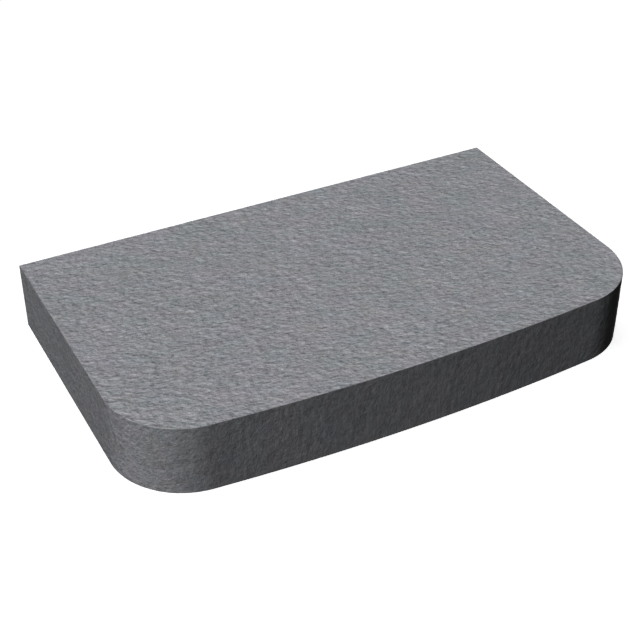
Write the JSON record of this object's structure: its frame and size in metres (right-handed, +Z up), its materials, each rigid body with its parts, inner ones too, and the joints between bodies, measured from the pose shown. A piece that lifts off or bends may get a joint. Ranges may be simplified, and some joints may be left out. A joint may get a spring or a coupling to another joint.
{
  "type": "granite slab",
  "caption": "Thick flat slab of grey granite with rounded front corners, a bowed front edge and a straight back, laid on a bench as a hard base for leather stamping and tooling.",
  "frame": {"origin": "middle of the underside, on the bench that the slab lies on", "axes": "+Z up to the working face, +X along the width, +Y towards the straight back edge; the bowed front edge is at -Y"},
  "size_m": [0.381, 0.2286, 0.0508],
  "materials": {
    "granite": "matte"
  },
  "bodies": {
    "root": {"granite_slab": "granite"}
  },
  "joints": []
}
